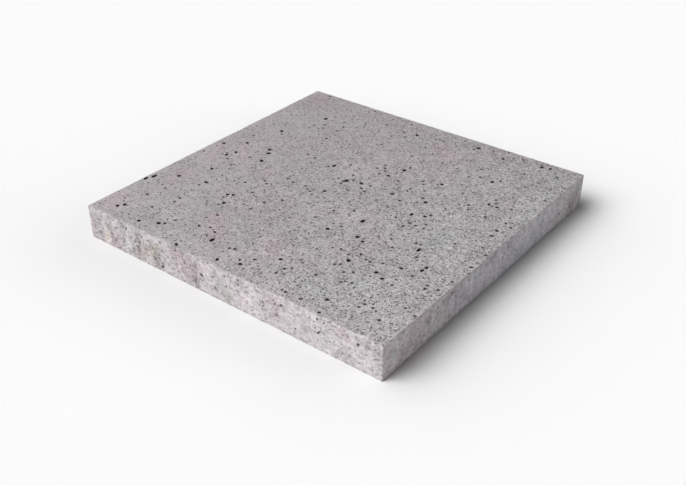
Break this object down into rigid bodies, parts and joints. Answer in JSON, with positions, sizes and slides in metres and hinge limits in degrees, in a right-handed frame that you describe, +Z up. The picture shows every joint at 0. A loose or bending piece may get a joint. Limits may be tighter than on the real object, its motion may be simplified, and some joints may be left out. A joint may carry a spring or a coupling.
{
  "type": "concrete paving slab",
  "caption": "Square cast concrete paving slab with a flat walking face pitted by small open air voids, for paths, patios and terraces.",
  "frame": {"origin": "centre of the underside, which lies on the bedding", "axes": "+Z up through the thickness to the walking face, +X and +Y along the two equal sides"},
  "size_m": [0.5, 0.5, 0.05],
  "materials": {
    "concrete": "pressed grey concrete, matt, with fine light and dark grit, faint pinkish and greenish clouding and open air voids"
  },
  "bodies": {
    "root": {"paving_slab": "concrete"}
  },
  "joints": []
}
